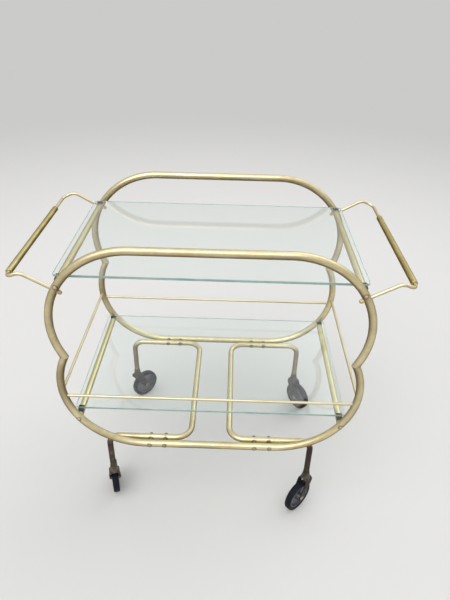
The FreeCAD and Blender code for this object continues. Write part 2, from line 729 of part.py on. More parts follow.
def caster_fork(place):
    # An inverted channel of sheet trimmed to a tapering side outline, under the swivel head.
    inner_bend = S.fork_shoulder
    outer_bend = S.fork_shoulder + S.fork_sheet
    low_z = wheel_radius - S.fork_eye - S.overcut
    corners = [(-half_outer, low_z), (-half_fork, low_z), (-half_fork, roof_z - inner_bend)]
    corners += [(-half_fork + inner_bend, roof_z), (half_fork - inner_bend, roof_z)]
    corners += [(half_fork, roof_z - inner_bend), (half_fork, low_z), (half_outer, low_z)]
    corners += [(half_outer, plate_z - outer_bend), (half_outer - outer_bend, plate_z)]
    corners += [(-half_outer + outer_bend, plate_z), (-half_outer, plate_z - outer_bend)]
    arches = {2: (inner_bend, -1), 4: (inner_bend, -1), 8: (outer_bend, 1), 10: (outer_bend, 1)}
    length = (S.trail + S.fork_reach + S.fork_eye) * 2
    channel = plate(place + "_fork_channel", "YZ_Plane", corners, length, arches)
    trim_z = plate_z + S.overcut
    front_taper = (-S.fork_reach, roof_z - S.cheek_front)
    back_taper = (S.fork_reach + S.cheek_flare, roof_z - S.cheek_back)
    corners = [(-S.fork_reach, trim_z), front_taper, eye_tangent(*front_taper, 1)]
    corners += [(S.trail, wheel_radius - S.fork_eye), eye_tangent(*back_taper, -1)]
    corners += [back_taper, (S.fork_reach, trim_z)]
    rounds = {2: (S.fork_eye, 1), 3: (S.fork_eye, 1)}
    sides = plate(place + "_fork_sides", "XZ_Plane", corners, S.fork_inside * 2, rounds)
    sheet_metal = shared(place + "_fork_sheet", channel, sides)
    rivet_hole = rod("rivet_hole", S.stem_rivet, S.fork_sheet * 4, "z", 0, 0, roof_z - S.fork_sheet)
    axle_hole = rod("axle_hole", S.axle_pin, S.fork_inside * 2, "y", S.trail, -S.fork_inside, wheel_radius)
    drilled = cut(place + "_fork_drilled", sheet_metal, [rivet_hole, axle_hole])
    whole = fused(place + "_fork_blank", [drilled, swivel_head(place)])
    return group(place + "_caster_fork", [whole])


def caster_axle(place):
    head = S.axle_head / 2
    head_out = half_outer + S.axle_head_thick
    head_edge = head - S.axle_chamfer
    head_side = head_out - S.axle_chamfer
    corners = [(0, -head_out), (head_edge, -head_out), (head, -head_side), (head, -half_outer)]
    corners += [(axle_radius, -half_outer), (axle_radius, half_outer), (head, half_outer)]
    corners += [(head, head_side), (head_edge, head_out), (0, head_out)]
    return turned(place + "_caster_axle", corners)


def caster_hub(place):
    half_web = S.web_thick / 2
    half_rim = S.rim_width / 2
    boss = S.boss_width / 2
    boss_foot = boss + S.boss_draft
    inner_rim = rim_radius - S.rim_depth
    corners = [(hub_bore, -half_boss), (boss, -half_boss), (boss_foot, -half_web), (inner_rim, -half_web)]
    corners += [(inner_rim, -half_rim), (rim_radius, -half_rim), (rim_radius, half_rim)]
    corners += [(inner_rim, half_rim), (inner_rim, half_web), (boss_foot, half_web)]
    corners += [(boss, half_boss), (hub_bore, half_boss)]
    return turned(place + "_caster_hub", corners)


def caster_tyre(place):
    half_tyre = S.tyre_width / 2
    half_seat = half_tyre - S.tyre_taper
    half_tread = half_tyre - S.tyre_shoulder
    side_radius = wheel_radius - S.tyre_shoulder
    corners = [(rim_radius, -half_seat), (side_radius, -half_tyre), (wheel_radius, -half_tread)]
    corners += [(wheel_radius, half_tread), (side_radius, half_tyre), (rim_radius, half_seat)]
    rounds = {1: (S.tyre_shoulder, 1), 3: (S.tyre_shoulder, 1)}
    return turned(place + "_caster_tyre", corners, rounds)


for place, across, along, turn in CASTERS:
    keep(at_leg(caster_socket(place), across, along, 0))
    keep(at_leg(caster_stem(place), across, along, turn))
    keep(at_leg(caster_fork(place), across, along, turn))
    for piece in (caster_axle, caster_hub, caster_tyre):
        keep(at_leg(piece(place), across, along, turn, wheel_radius, S.trail, TURN["y"]))

doc.recompute()

for item in doc.Objects:
    if "Invalid" in item.State or "Error" in item.State:
        raise RuntimeError("%s is not sound: %s" % (item.Label, item.State))
os.makedirs("parts", exist_ok=True)
for node in NODES:
    shape = node.Shape
    if shape.isNull() or not shape.isValid() or not shape.Solids:
        raise RuntimeError("%s has no sound shape" % node.Label)
    print("%-28s solids %d volume %.1f" % (node.Label, len(shape.Solids), shape.Volume))
    shape.exportStep("parts/%s.step" % node.Label)
print("%d nodes" % len(NODES))
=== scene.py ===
import bpy
import json
import math
import numpy as np
from mathutils import Matrix, Vector


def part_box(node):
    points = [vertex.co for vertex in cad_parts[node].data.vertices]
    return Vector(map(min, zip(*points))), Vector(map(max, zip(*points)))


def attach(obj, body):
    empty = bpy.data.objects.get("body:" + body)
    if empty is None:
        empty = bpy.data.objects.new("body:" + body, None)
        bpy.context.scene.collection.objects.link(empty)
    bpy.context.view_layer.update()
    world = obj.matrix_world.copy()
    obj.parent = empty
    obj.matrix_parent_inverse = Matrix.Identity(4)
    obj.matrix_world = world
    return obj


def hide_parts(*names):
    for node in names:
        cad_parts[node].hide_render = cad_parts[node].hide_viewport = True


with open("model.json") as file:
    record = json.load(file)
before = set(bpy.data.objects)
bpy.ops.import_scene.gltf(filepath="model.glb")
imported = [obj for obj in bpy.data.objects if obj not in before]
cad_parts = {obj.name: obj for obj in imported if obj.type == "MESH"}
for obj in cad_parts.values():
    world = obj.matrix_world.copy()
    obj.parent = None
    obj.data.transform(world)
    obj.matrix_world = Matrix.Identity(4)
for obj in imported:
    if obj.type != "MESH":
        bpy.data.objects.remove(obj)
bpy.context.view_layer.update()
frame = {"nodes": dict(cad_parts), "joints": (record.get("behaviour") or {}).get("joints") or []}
nodes = frame["nodes"]
joints = {joint["name"]: joint for joint in frame["joints"]}
print("frame loaded with", len(nodes), "nodes")

# Small helpers for shader trees.


def setInputs(tree, node, inputs):
    # A value that comes from another node is linked, and a plain value is written on its socket.
    for name, value in inputs.items():
        if isinstance(value, bpy.types.NodeSocket):
            tree.links.new(value, node.inputs[name])
        else:
            node.inputs[name].default_value = value


def addNode(tree, kind, inputs=None, **settings):
    node = tree.nodes.new(kind)
    for name, value in settings.items():
        setattr(node, name, value)
    setInputs(tree, node, inputs or {})
    return node


def mixColours(tree, factor, first, second):
    return addNode(tree, "ShaderNodeMix", {0: factor, 6: first, 7: second}, data_type="RGBA").outputs[2]


def mixValues(tree, factor, first, second):
    return addNode(tree, "ShaderNodeMix", {0: factor, 2: first, 3: second}, data_type="FLOAT").outputs[0]


def remap(tree, value, low, high, toLow=0.0, toHigh=1.0):
    inputs = {"Value": value, "From Min": low, "From Max": high, "To Min": toLow, "To Max": toHigh}
    return addNode(tree, "ShaderNodeMapRange", inputs, interpolation_type="SMOOTHSTEP").outputs[0]


def between(tree, mask, low, high):
    # Low where the mask is 0, high where it is 1.
    return remap(tree, mask, 0.0, 1.0, low, high)


def arithmetic(tree, operation, first, second=0.0):
    return addNode(tree, "ShaderNodeMath", {0: first, 1: second}, operation=operation).outputs[0]


def plus(tree, first, second):
    return arithmetic(tree, "ADD", first, second)


def minus(tree, first, second):
    return arithmetic(tree, "SUBTRACT", first, second)


def times(tree, first, second):
    return arithmetic(tree, "MULTIPLY", first, second)


def addNoise(tree, place, scale, detail):
    inputs = {"Vector": place, "Scale": scale, "Detail": detail}
    return addNode(tree, "ShaderNodeTexNoise", inputs).outputs[0]


def splitAxes(tree, vector):
    return addNode(tree, "ShaderNodeSeparateXYZ", {0: vector}).outputs


def bumpFrom(tree, height, strength, depth):
    inputs = {"Strength": strength, "Distance": depth, "Height": height}
    return addNode(tree, "ShaderNodeBump", inputs).outputs[0]


def blendShaders(tree, factor, first, second):
    blend = addNode(tree, "ShaderNodeMixShader", {0: factor, 1: first.outputs[0], 2: second.outputs[0]})
    tree.links.new(blend.outputs[0], tree.nodes["Material Output"].inputs["Surface"])


def newGroup(name, values, masks):
    # A group that takes a place and some plain values and gives masks.
    group = bpy.data.node_groups.new(name, "ShaderNodeTree")
    group.interface.new_socket("Vector", in_out="INPUT", socket_type="NodeSocketVector")
    for label in values:
        group.interface.new_socket(label, in_out="INPUT", socket_type="NodeSocketFloat")
    for label in masks:
        group.interface.new_socket(label, in_out="OUTPUT", socket_type="NodeSocketFloat")
    return group, group.nodes.new("NodeGroupInput").outputs, group.nodes.new("NodeGroupOutput").inputs


def useGroup(tree, group, inputs):
    return addNode(tree, "ShaderNodeGroup", inputs, node_tree=group).outputs


def newMaterial(name):
    material = bpy.data.materials.new(name)
    material.use_nodes = True
    tree = material.node_tree
    shader = tree.nodes["Principled BSDF"]
    place = tree.nodes.new("ShaderNodeTexCoord").outputs["Object"]
    return material, tree, shader, place


# Effects that several finishes share.

tarnishNoise = {
    "cloudDetail": 5.0, "fleckDetail": 3.0, "finer": 11.0, "fleckShare": 0.35, "bareLevel": 1.05,
    "fleckRange": (0.35, 0.7),
}


def makeTarnish():
    # Two noises added together and cut off softly: large clouds broken up by small flecks.
    noise = tarnishNoise
    group, entry, leave = newGroup("tarnish", ("Scale", "Cover", "Soft"), ("Mask", "Flecks"))
    clouds = addNoise(group, entry["Vector"], entry["Scale"], noise["cloudDetail"])
    fineScale = times(group, entry["Scale"], noise["finer"])
    flecks = addNoise(group, entry["Vector"], fineScale, noise["fleckDetail"])
    total = plus(group, clouds, times(group, flecks, noise["fleckShare"]))
    edge = minus(group, noise["bareLevel"], entry["Cover"])
    low, high = minus(group, edge, entry["Soft"]), plus(group, edge, entry["Soft"])
    group.links.new(remap(group, total, low, high), leave["Mask"])
    group.links.new(remap(group, flecks, *noise["fleckRange"]), leave["Flecks"])
    return group


scratchNoise = {
    "turns": ((0.3, 0.0, 0.2), (1.2, 0.5, 0.0), (0.1, 1.1, 0.7)), "stretch": (0.08, 1.0, 1.0),
    "detail": 2.0, "sharp": (0.66, 0.72),
}


def makeScratches():
    # Noise stretched into long threads along three directions; only the sharpest threads are kept.
    noise = scratchNoise
    group, entry, leave = newGroup("scratches", ("Scale",), ("Mask",))
    total = 0.0
    for turn in noise["turns"]:
        inputs = {"Vector": entry["Vector"], "Rotation": turn, "Scale": noise["stretch"]}
        turned = addNode(group, "ShaderNodeMapping", inputs).outputs[0]
        threads = addNoise(group, turned, entry["Scale"], noise["detail"])
        total = arithmetic(group, "MAXIMUM", total, remap(group, threads, *noise["sharp"]))
    group.links.new(total, leave["Mask"])
    return group


dustNoise = {"facing": (0.25, 0.95), "detail": 6.0, "patches": (0.3, 0.75)}


def makeDust():
    # Upward-facing surface times a patchy noise.
    noise = dustNoise
    group, entry, leave = newGroup("dust", ("Scale", "Amount"), ("Mask",))
    upward = splitAxes(group, addNode(group, "ShaderNodeNewGeometry").outputs["Normal"])["Z"]
    facing = remap(group, upward, *noise["facing"])
    patches = addNoise(group, entry["Vector"], entry["Scale"], noise["detail"])
    lying = times(group, facing, remap(group, patches, *noise["patches"]))
    group.links.new(times(group, lying, entry["Amount"]), leave["Mask"])
    return group


paintedShadeNoise = {
    "frontShare": 0.55, "detail": 3.0, "clouds": (0.25, 0.75), "shift": 0.2,
    "bright": 0.95, "dark": 0.02,
}


def makePaintedShade():
    # Painted shade: how far a surface turns away from above and from front and back, shifted a little by a
    # noise;
    # tops and faces towards front and back stay bright, while sides and undersides are darkened by it.
    noise = paintedShadeNoise
    group, entry, leave = newGroup("paintedShade", ("Scale",), ("Mask",))
    facing = splitAxes(group, addNode(group, "ShaderNodeNewGeometry").outputs["Normal"])
    frontal = times(group, arithmetic(group, "ABSOLUTE", facing["Y"]), noise["frontShare"])
    clouds = addNoise(group, entry["Vector"], entry["Scale"], noise["detail"])
    shift = remap(group, clouds, *noise["clouds"], -noise["shift"], noise["shift"])
    level = plus(group, plus(group, facing["Z"], frontal), shift)
    group.links.new(remap(group, level, noise["bright"], noise["dark"]), leave["Mask"])
    return group


tarnish = makeTarnish()
scratches = makeScratches()
dust = makeDust()
paintedShade = makePaintedShade()


def addTarnish(tree, place, scale, cover, soft):
    return useGroup(tree, tarnish, {"Vector": place, "Scale": scale, "Cover": cover, "Soft": soft})


def addScratches(tree, place, scale):
    return useGroup(tree, scratches, {"Vector": place, "Scale": scale})["Mask"]


def addDust(tree, place, scale, amount):
    return useGroup(tree, dust, {"Vector": place, "Scale": scale, "Amount": amount})["Mask"]


print("shared effects ready")

# Finishes. A tarnish is set by its scale, cover and softness. Shade is the colour of the painted shade on
# sides and undersides, and the share after strength sets how much of it is laid on.

brassLooks = {
    "hoopBrass": {
        "bright": (0.90, 0.815, 0.53, 1), "warm": (0.83, 0.72, 0.42, 1), "shade": (0.19, 0.135, 0.07, 1),
        "brown": (0.29, 0.195, 0.10, 1), "cloudScale": 7.0, "cover": 0.30, "strength": 0.45, "paintedShade": 0.9,
        "smooth": 0.31, "dull": 0.44, "bump": 0.006, "shadeAndDirt": 0.8,
    },
    "crossbarBrass": {
        "bright": (0.90, 0.83, 0.50, 1), "warm": (0.85, 0.75, 0.41, 1), "shade": (0.33, 0.265, 0.13, 1),
        "brown": (0.38, 0.28, 0.14, 1), "cloudScale": 9.0, "cover": 0.24, "strength": 0.35, "paintedShade": 0.7,
        "smooth": 0.28, "dull": 0.42, "bump": 0.006,
    },
    "gripBrass": {
        "bright": (0.75, 0.665, 0.34, 1), "warm": (0.60, 0.50, 0.215, 1), "shade": (0.14, 0.11, 0.04, 1),
        "brown": (0.20, 0.145, 0.055, 1), "cloudScale": 14.0, "cover": 0.32, "strength": 0.45, "paintedShade": 0.9,
        "smooth": 0.26, "dull": 0.42, "bump": 0.010,
    },
    "railBrass": {
        "bright": (0.87, 0.80, 0.56, 1), "warm": (0.81, 0.72, 0.46, 1), "shade": (0.33, 0.265, 0.16, 1),
        "brown": (0.36, 0.26, 0.15, 1), "cloudScale": 12.0, "cover": 0.24, "strength": 0.35, "paintedShade": 0.75,
        "smooth": 0.32, "dull": 0.44, "bump": 0.006,
    },
    "screwBrass": {
        "bright": (0.91, 0.80, 0.62, 1), "warm": (0.84, 0.69, 0.50, 1), "shade": (0.27, 0.18, 0.11, 1),
        "brown": (0.20, 0.13, 0.08, 1), "cloudScale": 70.0, "cover": 0.34, "strength": 0.5, "paintedShade": 0.9,
        "smooth": 0.22, "dull": 0.42, "bump": 0.03,
    },
    # Bolt heads: brass middles with a painted shadow round their rims, from the very dark shade colour.
    "boltBrass": {
        "bright": (0.60, 0.51, 0.31, 1), "warm": (0.47, 0.385, 0.215, 1), "shade": (0.10, 0.075, 0.04, 1),
        "brown": (0.12, 0.085, 0.05, 1), "cloudScale": 80.0, "cover": 0.36, "strength": 0.5, "paintedShade": 0.8,
        "smooth": 0.30, "dull": 0.50, "bump": 0.03,
    },
    # Spacers and nuts: browned brass, made darker still as a painted shade for the gap between the tubes.
    "spacerShadeBrass": {
        "bright": (0.36, 0.30, 0.17, 1), "warm": (0.27, 0.215, 0.115, 1), "shade": (0.13, 0.10, 0.06, 1),
        "brown": (0.10, 0.075, 0.045, 1), "cloudScale": 80.0, "cover": 0.45, "strength": 0.6, "paintedShade": 0.8,
        "smooth": 0.34, "dull": 0.55, "bump": 0.04,
    },
    "fastenerBrass": {
        "bright": (0.87, 0.77, 0.48, 1), "warm": (0.74, 0.60, 0.32, 1), "shade": (0.32, 0.24, 0.13, 1),
        "brown": (0.22, 0.15, 0.08, 1), "cloudScale": 60.0, "cover": 0.36, "strength": 0.5, "paintedShade": 0.7,
        "smooth": 0.20, "dull": 0.42, "bump": 0.03,
    },
}
brassWear = {
    "soft": 0.28, "toneScale": 0.4, "toneDetail": 2.0, "toneRange": (0.3, 0.7), "paintedShadeScale": 1.3,
    "specks": (210.0, 0.18, 0.09), "speckShare": 0.35, "scratchScale": 160.0,
    "dustScale": 45.0, "dustAmount": 0.10, "dustColour": (0.66, 0.62, 0.54, 1), "paintedShadeDull": 0.7,
    "fleckRough": 0.03, "dustRough": 0.5, "scratchRough": 0.10, "bumpDepth": 0.0006,
    "edgeTint": (0.50, 0.40, 0.25, 1),  # what brass reflects at a grazing angle
}
# Dark rings round the hoop's bolts and crossbar ends: partly dirt, partly painted shade where the parts meet.
shadeAndDirtLooks = {
    "colour": (0.09, 0.065, 0.035, 1), "outer": 0.0085, "inner": 0.0050, "thinnest": 0.6,
    "bolts": ((0.120, 0.249), (0.160, 0.249)),  # metres from the middle and from the floor
}


def shadeAndDirtRings(tree, place, flecks):
    # Painted shade and dirt round the bolt and screw heads of the hoops and round the crossbar ends:
    # seen from the front, it fades with the distance from the nearest bolt or crossbar axis. Left and right
    # match, so X is taken without its sign.
    axes = splitAxes(tree, place)
    along = arithmetic(tree, "ABSOLUTE", axes["X"])
    flat = addNode(tree, "ShaderNodeCombineXYZ", {"X": along, "Z": axes["Z"]}).outputs[0]
    centres = [(x, 0, z) for x, z in shadeAndDirtLooks["bolts"]]
    for level in ("upper", "lower"):
        low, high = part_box(level + "_right_crossbar")
        centres.append(((low.x + high.x) / 2, 0, (low.z + high.z) / 2))
    nearest = 1.0
    for centre in centres:
        reach = addNode(tree, "ShaderNodeVectorMath", {0: flat, 1: centre}, operation="DISTANCE")
        nearest = arithmetic(tree, "MINIMUM", reach.outputs["Value"], nearest)
    ring = remap(tree, nearest, shadeAndDirtLooks["outer"], shadeAndDirtLooks["inner"])
    return times(tree, ring, between(tree, flecks, shadeAndDirtLooks["thinnest"], 1.0))


def brassColour(tree, place, looks):
    # Bright metal, clouded with a warmer tone, darkened by a painted shade on sides and undersides, browned
    # in patches, dotted with small specks and darkened round the heads by painted shade and dirt; returns
    # colour, roughness and height.
    wear = brassWear
    stain = addTarnish(tree, place, looks["cloudScale"], looks["cover"], wear["soft"])
    tone = addNoise(tree, place, looks["cloudScale"] * wear["toneScale"], wear["toneDetail"])
    metal = mixColours(tree, remap(tree, tone, *wear["toneRange"]), looks["bright"], looks["warm"])
    paintedShadeScale = looks["cloudScale"] * wear["paintedShadeScale"]
    # Painted shade: darker on sides and undersides, brighter on tops and on faces towards front and back.
    shadeMask = useGroup(tree, paintedShade, {"Vector": place, "Scale": paintedShadeScale})["Mask"]
    colour = mixColours(tree, times(tree, shadeMask, looks["paintedShade"]), metal, looks["shade"])
    colour = mixColours(tree, times(tree, stain["Mask"], looks["strength"]), colour, looks["brown"])
    specks = times(tree, addTarnish(tree, place, *wear["specks"])["Mask"], wear["speckShare"])
    colour = mixColours(tree, specks, colour, looks["brown"])
    # Painted shade and dirt round the bolts and crossbar ends.
    if "shadeAndDirt" in looks:
        ring = times(tree, shadeAndDirtRings(tree, place, stain["Flecks"]), looks["shadeAndDirt"])
        colour = mixColours(tree, ring, colour, shadeAndDirtLooks["colour"])
    scored = addScratches(tree, place, wear["scratchScale"])
    settled = addDust(tree, place, wear["dustScale"], wear["dustAmount"])
    colour = mixColours(tree, settled, colour, wear["dustColour"])
    worn = arithmetic(tree, "MAXIMUM", stain["Mask"], times(tree, shadeMask, wear["paintedShadeDull"]))
    rough = between(tree, worn, looks["smooth"], looks["dull"])
    for mask, name in ((stain["Flecks"], "fleckRough"), (settled, "dustRough"), (scored, "scratchRough")):
        rough = plus(tree, rough, times(tree, mask, wear[name]))
    height = minus(tree, stain["Flecks"], plus(tree, scored, specks))
    return colour, rough, height


def makeBrass(name):
    looks = brassLooks[name]
    material, tree, shader, place = newMaterial(name)
    colour, rough, height = brassColour(tree, place, looks)
    setInputs(tree, shader, {
        "Base Color": colour, "Metallic": 1.0, "Roughness": rough, "Specular Tint": brassWear["edgeTint"],
        "Normal": bumpFrom(tree, height, looks["bump"], brassWear["bumpDepth"])})
    return material


bronzeLooks = {
    "metal": (0.19, 0.155, 0.125, 1), "dark": (0.075, 0.062, 0.054, 1), "rubbed": (0.34, 0.285, 0.22, 1),
    "oxide": (26.0, 0.5, 0.32), "bare": (48.0, 0.24, 0.2), "bareShare": 0.45, "smooth": 0.34, "dull": 0.60,
    "bottomTone": (0.030, 0.028, 0.030, 1), "bottomFrom": 0.110, "bottomTo": 0.086, "bottomShare": 0.8,
    "metallic": 0.9, "bump": 0.06, "bumpDepth": 0.0006,
}


def bronzeColour(tree, place):
    # Dark oxide in soft clouds over brown metal, a little lighter where it has been rubbed;
    # returns colour, roughness and height.
    looks = bronzeLooks
    oxide = addTarnish(tree, place, *looks["oxide"])
    colour = mixColours(tree, oxide["Mask"], looks["metal"], looks["dark"])
    bare = times(tree, addTarnish(tree, place, *looks["bare"])["Mask"], looks["bareShare"])
    colour = mixColours(tree, bare, colour, looks["rubbed"])
    return colour, between(tree, oxide["Mask"], looks["smooth"], looks["dull"]), oxide["Flecks"]


def makeBronze():
    # Oxidised metal that gets darker down the cheeks of the forks.
    looks = bronzeLooks
    material, tree, shader, place = newMaterial("casterBronze")
    colour, rough, height = bronzeColour(tree, place)
    above = splitAxes(tree, place)["Z"]
    # Darker towards the bottom of the cheeks.
    low = remap(tree, above, looks["bottomFrom"], looks["bottomTo"], 0.0, looks["bottomShare"])
    setInputs(tree, shader, {
        "Base Color": mixColours(tree, low, colour, looks["bottomTone"]), "Metallic": looks["metallic"],
        "Roughness": rough, "Normal": bumpFrom(tree, height, looks["bump"], looks["bumpDepth"])})
    return material


legLooks = {
    "brassAbove": 0.253, "darkBelow": 0.231, "ragged": 0.006, "borderScale": 55.0, "borderDetail": 4.0,
    "borderRange": (0.2, 0.8), "frontTo": -0.1, "rearFrom": 0.1, "rearShare": 0.5, "bump": 0.02,
}


def makeLegBrass():
    # Brass on the level loops, going over down the legs to a dark tone that is partly oxide and partly
    # painted shade, less so on the rear legs; the border wanders with a noise.
    looks = legLooks
    material, tree, shader, place = newMaterial("legBrass")
    brassTone, brassRough, height = brassColour(tree, place, brassLooks["hoopBrass"])
    darkTone, darkRough = bronzeColour(tree, place)[:2]
    axes = splitAxes(tree, place)
    wander = addNoise(tree, place, looks["borderScale"], looks["borderDetail"])
    ragged = remap(tree, wander, *looks["borderRange"], -looks["ragged"], looks["ragged"])
    oxideAndShade = remap(tree, plus(tree, axes["Z"], ragged), looks["brassAbove"], looks["darkBelow"])
    # Half as much on the rear legs: the front legs carry more painted shade.
    share = remap(tree, axes["Y"], looks["frontTo"], looks["rearFrom"], 1.0, looks["rearShare"])
    oxideAndShade = times(tree, oxideAndShade, share)
    setInputs(tree, shader, {
        "Base Color": mixColours(tree, oxideAndShade, brassTone, darkTone), "Metallic": 1.0,
        "Roughness": mixValues(tree, oxideAndShade, brassRough, darkRough), "Specular Tint": brassWear["edgeTint"],
        "Normal": bumpFrom(tree, height, looks["bump"], brassWear["bumpDepth"])})
    return material


glassLooks = {
    "tint": (0.94, 0.985, 0.97, 1), "passes": (0.93, 0.96, 0.95, 1), "ior": 1.5,
    "smears": (6.0, 0.42, 0.3), "clean": 0.0, "smeared": 0.05,
}


def makeGlass():
    # Clear plate with a green cast; wiping smears only change its gloss.
    # Light from the lamp passes straight through, so what is below is lit.
    looks = glassLooks
    material, tree, shader, place = newMaterial("shelfGlass")
    smear = addTarnish(tree, place, *looks["smears"])["Mask"]
    setInputs(tree, shader, {
        "Base Color": looks["tint"], "Transmission Weight": 1.0, "IOR": looks["ior"],
        "Roughness": between(tree, smear, looks["clean"], looks["smeared"])})
    fromLamp = addNode(tree, "ShaderNodeLightPath").outputs["Is Shadow Ray"]
    clear = addNode(tree, "ShaderNodeBsdfTransparent", {"Color": looks["passes"]})
    blendShaders(tree, fromLamp, shader, clear)
    return material


edgeLooks = {
    "pale": (0.72, 0.90, 0.85, 1), "deep": (0.40, 0.68, 0.62, 1), "streaks": (30.0, 0.45, 0.3),
    "clear": 0.45, "ior": 1.5, "smooth": 0.28, "dull": 0.5,
}


def makeGroundEdge():
    # Ground glass seen end on: green, dull and only partly clear.
    looks = edgeLooks
    material, tree, shader, place = newMaterial("groundEdge")
    streak = addTarnish(tree, place, *looks["streaks"])
    setInputs(tree, shader, {
        "Base Color": mixColours(tree, streak["Mask"], looks["pale"], looks["deep"]),
        "Transmission Weight": looks["clear"], "IOR": looks["ior"],
        "Roughness": between(tree, streak["Flecks"], looks["smooth"], looks["dull"])})
    return material


rubberLooks = {
    "padRubber": {"fresh": (0.045, 0.046, 0.048, 1), "bloom": (0.17, 0.17, 0.168, 1), "scale": 60.0},
    "tyreRubber": {"fresh": (0.003, 0.004, 0.009, 1), "bloom": (0.016, 0.018, 0.028, 1), "scale": 35.0},
}
rubberWear = {
    "cover": 0.35, "soft": 0.3, "chalkShare": 0.6, "dustScale": 90.0, "dustAmount": 0.35,
    "smooth": 0.5, "dull": 0.85, "shine": 0.16, "bump": 0.2, "bumpDepth": 0.0005,
}


def makeRubber(name):
    # Black rubber, greyed by a chalky bloom and by dust on top.
    looks, wear = rubberLooks[name], rubberWear
    material, tree, shader, place = newMaterial(name)
    chalk = addTarnish(tree, place, looks["scale"], wear["cover"], wear["soft"])
    settled = addDust(tree, place, wear["dustScale"], wear["dustAmount"])
    greyed = arithmetic(tree, "MAXIMUM", times(tree, chalk["Mask"], wear["chalkShare"]), settled)
    setInputs(tree, shader, {
        "Base Color": mixColours(tree, greyed, looks["fresh"], looks["bloom"]),
        "Roughness": between(tree, greyed, wear["smooth"], wear["dull"]), "Specular IOR Level": wear["shine"],
        "Normal": bumpFrom(tree, chalk["Flecks"], wear["bump"], wear["bumpDepth"])})
    return material


steelLooks = {
    "casterSteel": {"metal": (0.42, 0.41, 0.39, 1), "rust": (0.16, 0.09, 0.05, 1),
                    "cover": 0.4, "rough": 0.35, "spots": 55.0},
    "insertSteel": {"metal": (0.50, 0.48, 0.44, 1), "rust": (0.22, 0.14, 0.08, 1),
                    "cover": 0.3, "rough": 0.35, "spots": 55.0},
    "wheelDisc": {"metal": (0.17, 0.172, 0.195, 1), "rust": (0.085, 0.085, 0.095, 1),
                  "cover": 0.35, "rough": 0.38, "spots": 30.0},
}
steelWear = {
    "soft": 0.2, "scratchScale": 260.0, "rustRough": 0.75, "rustMetallic": 0.55, "bump": 0.1,
    "bumpDepth": 0.0005,
}


def makeSteel(name):
    # Bare metal with dull rust spots and fine scratches.
    looks, wear = steelLooks[name], steelWear
    material, tree, shader, place = newMaterial(name)
    spots = addTarnish(tree, place, looks["spots"], looks["cover"], wear["soft"])
    height = minus(tree, spots["Flecks"], addScratches(tree, place, wear["scratchScale"]))
    setInputs(tree, shader, {
        "Base Color": mixColours(tree, spots["Mask"], looks["metal"], looks["rust"]),
        "Metallic": between(tree, spots["Mask"], 1.0, wear["rustMetallic"]),
        "Roughness": between(tree, spots["Mask"], looks["rough"], wear["rustRough"]),
        "Normal": bumpFrom(tree, height, wear["bump"], wear["bumpDepth"])})
    return material


# By the record's slot, and for some pieces by the end of their name.
finishes = {
    "aged_brass": makeBrass("hoopBrass"),
    "handle_brass": makeBrass("gripBrass"),
    "rail_brass": makeBrass("railBrass"),
    "fastener_brass": makeBrass("fastenerBrass"),
    "insert_steel": makeSteel("insertSteel"),
    "clear_glass": makeGlass(),
    "pad_rubber": makeRubber("padRubber"),
    "dark_bronze": makeBronze(),
    "caster_steel": makeSteel("casterSteel"),
    "wheel_disc": makeSteel("wheelDisc"),
    "tyre_rubber": makeRubber("tyreRubber"),
}
groundEdge = makeGroundEdge()
# Darker brass for spacers and nuts: painted shade for the gap between the tubes.
spacerShadeBrass = makeBrass("spacerShadeBrass")
ownFinishes = {
    "_leg_tube": makeLegBrass(),
    "_crossbar": makeBrass("crossbarBrass"),
    # The handle rods take the paler rail finish, a painted highlight for the bright sheen along them.
    "_handle_rod": finishes["rail_brass"],
    "crossbar_screws": makeBrass("screwBrass"),
    "leg_bolts": makeBrass("boltBrass"),
    "leg_spacers": spacerShadeBrass,
    "leg_nuts": spacerShadeBrass,
}

for name, node in nodes.items():
    own = [finish for ending, finish in ownFinishes.items() if name.endswith(ending)]
    for held in node.material_slots:
        slotName = held.material.name.split(".")[0]
        held.material = own[0] if own else finishes[slotName]
print("finishes ready:", len(bpy.data.materials))

# Helpers for surfaces on a grid of points.


def gridFaces(rows, columns, closeRows=True):
    # One quad between each point of the grid and its next neighbours. Columns join round, rows where asked.
    i, j = np.meshgrid(np.arange(rows if closeRows else rows - 1), np.arange(columns), indexing="ij")
    below, beside = (i + 1) % rows, (j + 1) % columns
    quads = (i * columns + j, i * columns + beside, below * columns + beside, below * columns + j)
    return np.stack(quads, -1).reshape(-1, 4)


def outward(points, quads, caps=()):
    # Seen from the middle, quads that face outwards enclose a positive volume;
    # otherwise all faces are turned.
    a, b, c, d = ((points - points.mean(0))[quads[:, k]] for k in range(4))
    volume = np.sum(a * np.cross(b, c)) + np.sum(a * np.cross(c, d))
    faces = quads.tolist() + [list(cap) for cap in caps]
    return faces if volume > 0 else [face[::-1] for face in faces]


def tubeFaces(points, rows, columns):
    # Quads along a tube of point rings, with a flat cap on its first and last ring.
    first, last = range(columns), range((rows - 1) * columns, rows * columns)
    return outward(points, gridFaces(rows, columns, closeRows=False), (first[::-1], last))


def joinShells(shells):
    # Several shells of points and faces as one.
    faces, start = [], 0
    for points, shellFaces in shells:
        faces += [[start + k for k in face] for face in shellFaces]
        start += len(points)
    return np.concatenate([points for points, shellFaces in shells]), faces


def addPiece(name, points, faces, materials, body, replaced, crease=40):
    mesh = bpy.data.meshes.new(name)
    mesh.from_pydata(points.tolist(), [], faces)
    for material in materials:
        mesh.materials.append(material)
    mesh.polygons.foreach_set("use_smooth", np.ones(len(faces), bool))
    mesh.set_sharp_from_angle(angle=math.radians(crease))
    mesh.update()
    piece = bpy.data.objects.new(name, mesh)
    bpy.context.scene.collection.objects.link(piece)
    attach(piece, body)
    if replaced:
        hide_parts(replaced)
    return piece


